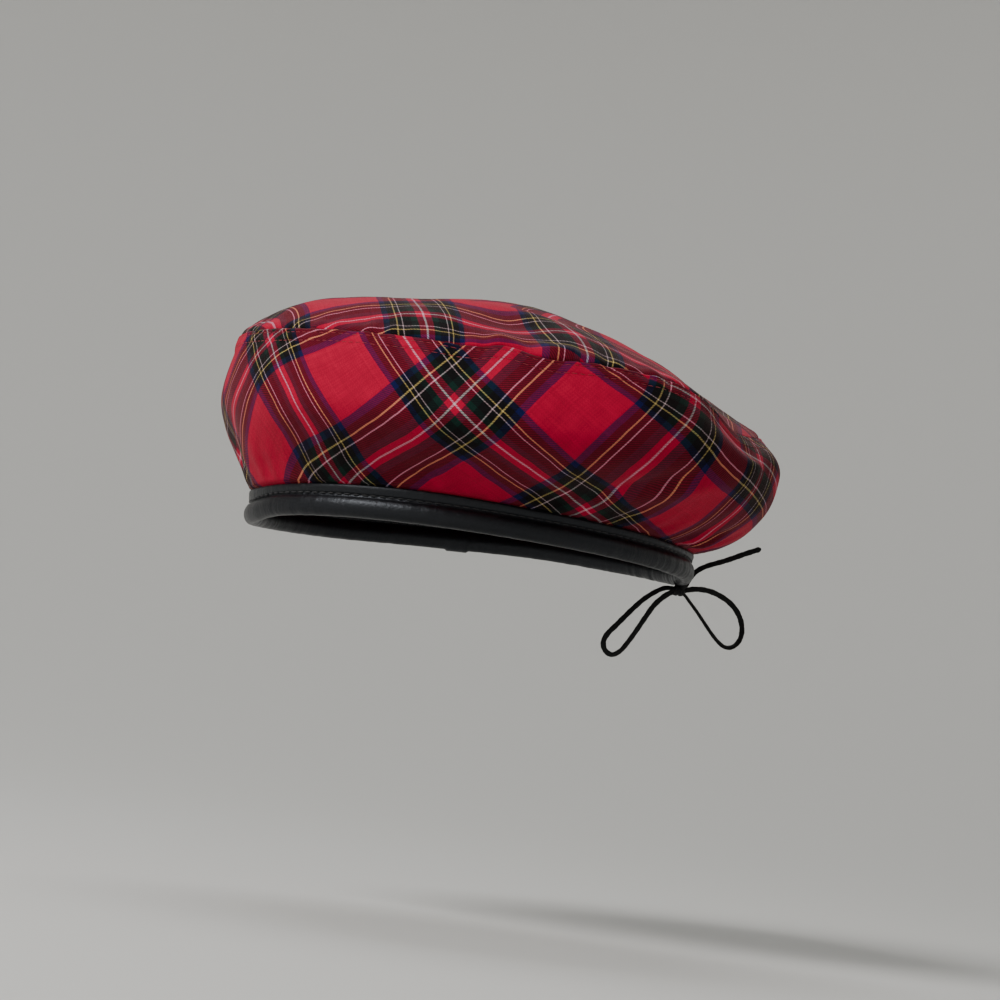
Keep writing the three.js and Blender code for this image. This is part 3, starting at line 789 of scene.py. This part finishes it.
# Thickness goes inwards, so that the outer face stays where it is. Each panel is a sheet that was
# cut flat, sewn up and pulled into its shape
def finishPanel(piece, panel):
    wall = piece.modifiers.new("thickness", "SOLIDIFY")
    wall.thickness = panel["thickness"] * mm
    wall.offset = -1
    wall.use_even_offset = False
    wall.use_rim = True


def makeSidePanel():
    angles, turn, station = panelGrid(sidePanel)
    spots = sidePoint(turn, station)
    height = lengthsAlong(spots)
    below = height[:, -1:] - height  # distance down from the seam
    normals = gridNormals(spots)
    push = foldPush(sidePanel, turn, station) + lumpPush(sidePanel, spots, height)
    gather = sidePanel["gathers"] + sum(more * bell(angleBetween(turn, place), spread)
                                        for place, spread, more in sidePanel["moreGathers"])
    middle, spread, fade = sidePanel["gatherPlace"]
    gather = gather * bell(height - middle, spread) * rising(height, fade)
    push += ripples(turn, *sidePanel["gatherWaves"]) * gather
    push *= rising(below, sidePanel["calm"][0]) ** sidePanel["calm"][1]
    relief = seamPuckers(turn) * bell(below, seamRelief["puckerSpread"])
    width, edge = seamRelief["allowance"]
    relief += seamRelief["rise"] * rising(width - below, edge)
    for row in seamRelief["rows"]:
        relief -= seamRelief["row"][0] * bell(below - row, seamRelief["row"][1])
    relief -= seamRelief["valley"] * bell(below, seamRelief["valleySpread"])
    push += relief * seamDepth(turn)
    aside = np.abs(angleBetween(turn, 0)) * math.pi / 180 * sidePanel["backRadius"]
    for place, spread, rise in sidePanel["backSeam"]:
        push += rise * bell(aside - place, spread)
    tuck = [bandPoint(angles, out, bandHeight(angles) + up) for out, up in sidePanel["tuck"]]
    spots = np.concatenate([np.stack(tuck, 1), spots + normals * push[..., None]], 1)
    spots[-1] = spots[0]
    tuckRows = len(tuck)
    tuckDrop = np.broadcast_to(sidePanel["tuckDrop"], (len(angles), tuckRows))
    heights = np.concatenate([tuckDrop, height], 1)
    mesh = bmesh.new()
    drapeGrid(mesh, spots, flatSide(np.broadcast_to(angles[:, None], heights.shape), heights))
    piece = finishPiece("side_panel", mesh, clothMaterial, "tartan_cloth", "crown_side")
    finishPanel(piece, sidePanel)
    return piece, spots[:, tuckRows:], normals, below


sidePiece, sideSpots, sideNormals, sideBelow = makeSidePanel()
print("side panel made")


# Top panel: a round piece, domed, that turns down inside the side panel at the seam
topPanel = {
    "columns": 540,
    "rows": [(0, 0.11, 20, False), (0.11, 1, 41)],  # stations from 0 at the seam to 1 in the middle
    "crownHeight": 114,
    "thickness": 1.1,
    "flatSize": (262, 262),  # as cut, a full round
    "flatArea": 53900,
    "spans": (0, 0.13, 0.5, 1),  # the seam, the shoulder, halfway and the middle
    "steepness": (1.3, 1.9),  # at the seam, and at most at the shoulder
    "sections": [  # angle, height at the shoulder, height halfway to the middle
        (0, 81, 102), (20, 87, 103), (50, 94, 105.5), (90, 95, 106.5), (130, 94, 106),
        (165, 94.5, 105.5), (195, 95.7, 106), (225, 95.5, 106.5), (255, 94, 106.5),
        (280, 91, 105), (297, 88, 103), (308, 83.5, 101.5), (319, 78, 100), (345, 79, 100.5),
    ],
    "folds": [  # angle, station, spread of angle, spread of station, lean, push
        (262, 0.16, 9, 0.1, 0, -3.2), (245, 0.3, 16, 0.14, 0, 1), (330, 0.2, 10, 0.14, 60, -1.5),
        (256, 0.035, 3.6, 0.03, 0, 1.4), (269, 0.03, 5, 0.032, 0, 3.2),
        (262.5, 0.03, 2.2, 0.03, 0, -0.8), (40, 0.25, 14, 0.14, 0, -2),
        (120, 0.2, 14, 0.12, 0, -1.4),
    ],
    "foldsEnd": 0.25,  # they fade out over this last part, towards the middle
    "lumps": [(34, 3, 1.6, 14), (13, 4, 0.4, 8)],  # size, seed, height, fade from the seam
    "puckers": (1, 9, 1.2),  # place, spread, times those of the side panel
    "edge": [(3.2, 2.4, 0.5), (0, 0.7, -0.75)],  # beside the seam: place, spread, rise
    "sewnIn": [6.5, 4.5, 2.6, 1.2, 0.35],  # rows of the edge that lies inside, down from the seam
    "sewnGap": 0.35,
    "turn": 10,  # degrees, of the pattern on the round
    "shift": (43.2, 96.6),
    "pulls": [
        (-64, 47, -5.5, 1.9), (-53, 29, -4.7, -10.6), (-40, 13, -1.6, -7.3), (-25, 0, -1.8, -13.4),
        (-7, -10, 0.8, -3.1), (13, -17, -4.5, -2), (33, -21, 2.1, -14.6), (53, -21, -3.5, -1.2),
        (74, -17, -1.3, 7.9), (93, -10, -0.7, -6.6), (111, 0, 0.6, 1), (127, 13, 1, -0.2),
        (140, 29, 0.4, -0.6), (150, 47, 0.7, 0.2), (157, 66, 0.6, -0.6), (161, 86, 0.7, 0.2),
        (-51, 53, -1.5, -3.3), (-42, 37, 1.1, 2), (-30, 23, -0.2, 8.3), (-16, 11, -1.6, 9.7),
        (-1, 2, 1.4, 0), (16, -4, -4.1, -2.7), (34, -7, 4.1, 26.7), (52, -7, 3.1, -6.1),
        (70, -4, -2, -12.1), (87, 2, -1.3, 10.1), (103, 11, 0.2, -4.4), (117, 23, 0.1, 1.6),
        (128, 37, 0.4, -0.7), (137, 53, 0.6, 0.4), (144, 70, -0.7, 0.4), (-31, 54, -0.3, 1.2),
        (-19, 37, -1.1, -6.9), (-2, 24, 1.7, -0.7), (17, 15, 0.6, 1.5), (37, 11, 0.8, 1.5),
        (58, 12, 2.1, 1.9), (78, 18, 2.5, -1.4), (96, 29, 1.3, -0.2), (122, 62, 0.1, -0.6),
        (128, 82, 1, 0.1), (-8, 61, -2.5, -0.5), (6, 47, 1.4, 2.5), (42, 35, 6.2, -0.8),
        (61, 37, 6.2, 1.8), (79, 46, -0.7, -0.8), (93, 59, 2.7, 0.3),
    ],
    "pullSpread": 26,
}


def topPoint(angle, station):
    places = topPanel["spans"]
    halfway = [atAngle(topPanel["sections"], angle, column) for column in (1, 2)]
    heights = [seamHeight(angle), *halfway, np.full(angle.shape, float(topPanel["crownHeight"]))]
    width = np.diff(places)
    rise = [(heights[span + 1] - heights[span]) / width[span] for span in range(3)]
    meet = [(rise[at - 1] * width[at] + rise[at] * width[at - 1]) / (width[at - 1] + width[at])
            for at in (1, 2)]
    first, most = topPanel["steepness"]
    slopes = [rise[0] * first, np.minimum(meet[0], most * rise[1]), meet[1], 0 * rise[0]]
    up = np.zeros(angle.shape)
    for span in range(3):
        t = (station - places[span]) / width[span]
        tangents = (slopes[end] * width[span] for end in (span, span + 1))
        part = cubic(heights[span], heights[span + 1], *tangents, t)
        up = np.where(station >= places[span], part, up)
    return polarPoint(angle, crown(angle, 4) * (1 - station), up)


# Where each column of the side panel is at a distance down from the seam, and the way it faces
def belowSeam(distance):
    columns, last = np.arange(len(sideSpots)), sideSpots.shape[1] - 1
    rows = np.array([np.interp(-distance, -below, np.arange(last + 1)) for below in sideBelow])
    low = np.minimum(np.floor(rows).astype(int), last - 1)
    part = (rows - low)[:, None]
    line = sideSpots[columns, low] * (1 - part) + sideSpots[columns, low + 1] * part
    return line, sideNormals[columns, low]


def makeTopPanel():
    angles, turn, station = panelGrid(topPanel)
    spots = topPoint(turn, station)
    inwards = lengthsAlong(spots)
    normals = gridNormals(spots)
    normals[:, -1] = (0, 0, 1)
    push = foldPush(topPanel, turn, station) * rising(1 - station, topPanel["foldsEnd"])
    push += lumpPush(topPanel, spots, inwards)
    place, spread, times = topPanel["puckers"]
    relief = seamPuckers(turn) * times * bell(inwards - place, spread)
    for place, spread, rise in topPanel["edge"]:
        relief += rise * bell(inwards - place, spread)
    spots = spots + normals * (push + relief * seamDepth(turn))[..., None]
    depth = sidePanel["thickness"] + topPanel["sewnGap"]
    inner = [line - outward * depth for line, outward in map(belowSeam, topPanel["sewnIn"])]
    spots = np.concatenate([np.stack(inner, 1), spots], 1)
    spots[-1] = spots[0]
    spots[:, -1] = spots[0, -1]
    reach = inwards[:, -1:] - inwards  # from the middle
    reach = np.concatenate([reach[:, :1] + np.array(topPanel["sewnIn"])[None, :], reach], 1)
    turn = angles[:, None] + topPanel["turn"]
    x, y = np.moveaxis(polarPoint(turn, reach, 0), -1, 0)[:2]
    flat = pulledCloth(x + topPanel["shift"][0], y + topPanel["shift"][1], topPanel)
    mesh = bmesh.new()
    drapeGrid(mesh, spots, flat)
    piece = finishPiece("top_panel", mesh, clothMaterial, "tartan_cloth", "crown_top")
    finishPanel(piece, topPanel)


makeTopPanel()
print("top panel made")


# Stitches: short rounded lengths of thread in rows
stitching = {
    "seam": {"length": 2.6, "gap": 0.9, "thread": 0.3},
    "band": {"length": 3.0, "gap": 1.0, "thread": 0.55},
    "lift": 0.08,  # off the cloth
    "bandInset": 0.42,  # from the band's two faces
    "bandUp": 0.4,  # above the roll
    "bandColumns": 720,
}


def makeStitchShape():
    mesh = bmesh.new()
    bmesh.ops.create_uvsphere(mesh, u_segments=6, v_segments=5, radius=mm)
    shape = bpy.data.meshes.new("stitch")
    mesh.to_mesh(shape)
    mesh.free()
    return shape


stitchShape = makeStitchShape()


def addStitch(mesh, start, end, outward, thread):
    along = Vector(end - start)
    axis = along.normalized()
    side = axis.cross(Vector(outward)).normalized()
    turn = Matrix((side, side.cross(axis), axis)).transposed().to_4x4()
    turn.translation = Vector((start + end) / 2) * mm
    stitch = stitchShape.copy()
    stitch.transform(turn @ Matrix.Diagonal((thread / 2, thread / 2, along.length / 2, 1)))
    mesh.from_mesh(stitch)
    bpy.data.meshes.remove(stitch)


def stitchRow(mesh, line, outward, length, gap, thread):
    reach = lengthsAlong(line)
    count = int(reach[-1] / (length + gap))
    for number in range(count):
        start = number * reach[-1] / count
        ends = [placeAt(start + part, reach, line) for part in (gap / 2, gap / 2 + length)]
        addStitch(mesh, *ends, placeAt(start + length / 2, reach, outward), thread)


def makeSeamStitches():
    mesh = bmesh.new()
    for row in seamRelief["rows"]:
        line, outward = belowSeam(row)
        stitchRow(mesh, line + outward * stitching["lift"], outward, **stitching["seam"])
    finishPiece("seam_stitches", mesh, redThread, "tartan_cloth")


def makeBandStitches():
    mesh = bmesh.new()
    angles = np.linspace(0, 360, stitching["bandColumns"] + 1)
    foot = headband["rollHeight"] + stitching["bandUp"]
    across, inset = 2 * headband["leather"] + headband["slot"], stitching["bandInset"]
    for out, side in ((-inset, 1), (-across + inset, -1)):
        line = bandPoint(angles, out, foot)
        stitchRow(mesh, line, polarPoint(angles, side, 0), **stitching["band"])
    finishPiece("band_stitches", mesh, blackThread, "black_leather")


makeSeamStitches()
makeBandStitches()
print("stitches made")


# Drawcord: a flat black cord, tied in a bow under the back of the headband
drawcord = {
    "width": 2.5,
    "thickness": 1.15,
    "sides": 14,
    "step": 0.7,
    "squareness": 0.75,  # 1 gives an oval section
    "swells": [(0.05, 0.9), (0.04, 2.3)],  # share of the width, turn at each step
    "tip": (0.35, 0.85),  # how much the last two rings of a free end shrink
    "knot": (101.0, 1.8, -1.0),
    "knotSize": (6.6, 5.0, 4.0),
    "wraps": [(-0.9, 14, 2.5, 2.15), (0.95, -12, 2.45, 2.1)],  # shift, tilt, two half widths
    "wrapSection": (2.2, 1.1),
    "lead": (-2.2, 0, 0.7),  # out of each hole
    "leadEnd": (0.6, 1.2, 0.6),  # from the knot's middle
    "leadSection": (2.3, 1.2),
    # node, far end, lay, the way the broad face looks, its turn from end to end, tip
    "cords": {
        "bow_loop_front": (
            "cord_loop_front", "object", "hanging", (0.2, -1, 0.3), (20, -60), False),
        "bow_loop_back": ("cord_loop_back", "object", "hanging", (0, -1, 0.2), (10, 60), False),
        "bow_end_back": ("cord_end_back", "bare", "loose", (0, -0.5, 1), (0, 40), True),
        "bow_end_far": ("cord_end_far", "bare", "loose", (1, 0, 0.3), (0, 30), True),
    },
    "routes": {
        "bow_loop_front": [
            (100.4, 1.6, -0.8), (97.5, 2.2, -0.6), (94.6, 3, -1), (90.6, 3.7, -3.4),
            (86.1, 4.4, -7.2), (82.4, 5.1, -11.4), (78.9, 5.8, -15.9), (75.2, 6.5, -20.8),
            (72.3, 7.2, -24.6), (70.8, 7.9, -28.6), (72.2, 8.7, -32.4), (75.9, 9.4, -34.1),
            (79.7, 9.7, -32), (82.4, 9, -27.9), (85.2, 7.6, -22.3), (88.3, 6.2, -15.6),
            (91.4, 5, -9.4), (95, 3.8, -5), (97.9, 2.6, -2.6), (100.4, 1.6, -1.6),
        ],
        "bow_loop_back": [
            (101.6, 1.4, -1), (104.6, 1.6, -0.6), (108.2, 1.8, 0.4), (112.7, 1.6, 0.8),
            (117.2, 1.2, 0.3), (121.6, 0.6, -1.2), (125.6, -0.1, -3.4), (129, -0.9, -6.6),
            (131.4, -1.7, -10.8), (132.3, -2.6, -15.6), (131.3, -3.4, -20), (128.6, -3.4, -23.2),
            (125, -2.8, -23.8), (121.4, -2.1, -21.6), (117.8, -1.4, -18), (114, -0.6, -13.6),
            (110.4, 0.2, -9.4), (107, 1, -5.8), (104.3, 1.4, -3), (101.6, 1.5, -1.4),
        ],
        "bow_end_back": [
            (101.4, 2.6, -0.8), (103.4, 4.2, -0.2), (105, 4.8, 1.4), (106.4, 5.1, 4.2),
            (108.4, 5.2, 7.6), (111.2, 5.1, 10.2), (114.6, 4.9, 12.2), (118.2, 4.5, 13.8),
            (121.9, 4.1, 15.4), (125.8, 3.6, 17.3), (129.8, 3.1, 19.4), (133.9, 2.5, 21.4),
            (138, 2, 23.3),
        ],
        "bow_end_far": [
            (101, 2.6, -1.2), (101.6, 4.9, -1.4), (103.2, 6.6, -1), (104.4, 8.8, 0.4),
            (104.8, 11.8, 2.4), (104.4, 15.2, 4.4), (103.3, 18.8, 6), (101.9, 22.6, 7.2),
            (100.1, 26.4, 8), (98, 30.2, 8.4), (95.7, 33.9, 8.4), (93.3, 37.4, 8),
            (90.9, 40.6, 7.2),
        ],
    },
}


def smoothLine(points, step):
    points = np.array(points, float)
    padded = np.concatenate([[2 * points[0] - points[1]], points, [2 * points[-1] - points[-2]]])
    fine = []
    for before, start, end, after in zip(padded, padded[1:], padded[2:], padded[3:]):
        for t in np.linspace(0, 1, 24, endpoint=False):
            fine.append(cubic(start, end, (end - before) / 2, (after - start) / 2, t))
    fine = np.array(fine + [points[-1]])
    reach = lengthsAlong(fine)
    return placeAt(np.linspace(0, reach[-1], max(8, round(reach[-1] / step)) + 1), reach, fine)


# Sweeps the cord's flat section along a line. facing is the direction its broad face looks in, and
# twist turns it in degrees from one end to the other
def sweepCord(mesh, line, facing, width, thickness, twist=(0, 0), tip=False):
    tangents = np.gradient(line, axis=0)
    tangents /= np.linalg.norm(tangents, axis=-1, keepdims=True)
    broad = np.array(facing, float)
    turns = np.linspace(0, 2 * math.pi, drawcord["sides"] + 1)
    section = np.sign(np.cos(turns)) * np.abs(np.cos(turns)) ** drawcord["squareness"]
    rings = []
    for number, (point, tangent) in enumerate(zip(line, tangents)):
        broad = broad - tangent * np.dot(broad, tangent)
        broad = broad / np.linalg.norm(broad)
        share = number / (len(line) - 1)
        angle = math.radians(twist[0] + (twist[1] - twist[0]) * share)
        face = broad * math.cos(angle) + np.cross(tangent, broad) * math.sin(angle)
        side = np.cross(tangent, face)
        ends = min(number, len(line) - 1 - number)
        shrink = 1 if not tip or ends > 1 else drawcord["tip"][ends]
        swell = 1 + sum(part * math.sin(number * pace) for part, pace in drawcord["swells"])
        across = section * width / 2 * shrink * swell
        out = np.sin(turns) * thickness / 2 * shrink
        rings.append(point + side * across[:, None] + face * out[:, None])
    spots = np.array(rings)
    spots[:, -1] = spots[:, 0]
    caps = [np.broadcast_to(ring[:-1].mean(0), ring.shape) for ring in (spots[0], spots[-1])]
    spots = np.concatenate([caps[:1], spots, caps[1:]])
    reach = lengthsAlong(spots.mean(1))
    girth = lengthsAlong(spots[len(spots) // 2])
    flat = np.stack(np.broadcast_arrays(reach[:, None], girth[None, :]), -1)
    drapeGrid(mesh, spots, flat)


def makeCord(name, node, farEnd, lay, facing, twist, tip):
    line = smoothLine(drawcord["routes"][name], drawcord["step"])
    mesh = bmesh.new()
    sweepCord(mesh, line, facing, drawcord["width"], drawcord["thickness"], twist, tip)
    piece = finishPiece(name, mesh, cordMaterial, "black_cord", node)


def makeKnot():
    mesh = bmesh.new()
    centre = np.array(drawcord["knot"])
    place = Matrix.Translation(Vector(centre) * mm)
    place @= Matrix.Diagonal((*(part / 2 for part in drawcord["knotSize"]), 1))
    layer = mesh.loops.layers.uv.new("flat")
    bmesh.ops.create_uvsphere(mesh, u_segments=24, v_segments=14, radius=mm, matrix=place)
    for vert in mesh.verts:
        for loop in vert.link_loops:
            loop[layer].uv = (vert.co.x, vert.co.z)
    turns = np.linspace(0, 2 * math.pi, 40)
    for shift, tilt, wide, high in drawcord["wraps"]:  # two wraps of the cord
        up = high * np.sin(turns)
        ring = np.stack([shift + math.tan(math.radians(tilt)) * up, wide * np.cos(turns), up], -1)
        sweepCord(mesh, centre + ring, (0, 1, 0), *drawcord["wrapSection"])
    aside, back, above = drawcord["leadEnd"]
    for side in (-1, 1):  # the two leads out of the headband's holes
        at, out = holeCentre(side)
        lead = [at + out * distance for distance in drawcord["lead"]]
        lead = smoothLine([*lead, centre + np.array([aside, side * back, above])], 0.5)
        sweepCord(mesh, lead, (1, 0, 0.4), *drawcord["leadSection"])
    finishPiece("bow_knot", mesh, cordMaterial, "black_cord", "cord_knot")


makeKnot()
for name, cord in drawcord["cords"].items():
    makeCord(name, *cord)
print("bow made")


# Studio: a pale bowl with a flat floor, seen through from outside
studio = {
    "floor": -0.16,
    "profile": [  # out and up
        (0.0, 0.0), (1.0, 0.0), (1.5, 0.03), (1.95, 0.16), (2.3, 0.45), (2.5, 0.9), (2.6, 1.6),
        (2.6, 2.6),
    ],
    "steps": 72,
    "paper": {
        "Base Color": (0.54, 0.54, 0.52, 1), "Roughness": 0.9, "Specular IOR Level": 0.2,
    },
    "lamps": [  # name, place, width, height, power, colour
        ("key", (-1.65, -1.0, 1.7), 1.0, 1.1, 72, (1.0, 0.98, 0.97)),
        ("fill", (1.7, -1.2, 0.6), 1.2, 0.8, 0.8, (0.96, 0.98, 1.0)),
        ("back", (0.1, 1.2, 1.9), 1.2, 1.0, 21, (1.0, 1.0, 1.0)),
    ],
    "aim": (0, 0, 0.05),
    "sky": 0.06,
}


def makeStudio():
    mesh = bmesh.new()
    verts = [mesh.verts.new((out, 0, studio["floor"] + up)) for out, up in studio["profile"]]
    edges = [mesh.edges.new(pair) for pair in zip(verts, verts[1:])]
    bmesh.ops.spin(mesh, geom=verts + edges, cent=(0, 0, 0), axis=(0, 0, 1), angle=2 * math.pi,
                   steps=studio["steps"], use_merge=True)
    bmesh.ops.remove_doubles(mesh, verts=mesh.verts, dist=1e-5)
    bmesh.ops.recalc_face_normals(mesh, faces=mesh.faces)
    if sum(face.normal.z for face in mesh.faces) < 0:  # the paper faces up and inwards
        bmesh.ops.reverse_faces(mesh, faces=mesh.faces)
    material, tree, shader = newMaterial("studio_paper", studio["paper"])
    behind = addNode(tree, "ShaderNodeNewGeometry").outputs["Backfacing"]
    clear = addNode(tree, "ShaderNodeBsdfTransparent").outputs[0]
    choose = addNode(tree, "ShaderNodeMixShader", (behind, shader.outputs[0], clear))
    tree.links.new(choose.outputs[0], tree.nodes["Material Output"].inputs["Surface"])
    bowl = makeObject("studio_bowl", mesh, material)
    soften = bowl.modifiers.new("soften", "SUBSURF")
    soften.levels = soften.render_levels = 2
    for name, place, width, height, power, colour in studio["lamps"]:
        lamp = bpy.data.lights.new(name, "AREA")
        lamp.shape = "RECTANGLE"
        lamp.size, lamp.size_y, lamp.energy, lamp.color = width, height, power, colour
        holder = bpy.data.objects.new(name, lamp)
        holder.location = place
        aim = Vector(studio["aim"]) - Vector(place)
        holder.rotation_euler = aim.to_track_quat("-Z", "Y").to_euler()
        scene.collection.objects.link(holder)
    scene.world = bpy.data.worlds.new("studio_sky")
    scene.world.use_nodes = True
    background = scene.world.node_tree.nodes["Background"]
    background.inputs["Color"].default_value = (1, 1, 1, 1)
    background.inputs["Strength"].default_value = studio["sky"]


makeStudio()
print("studio made")
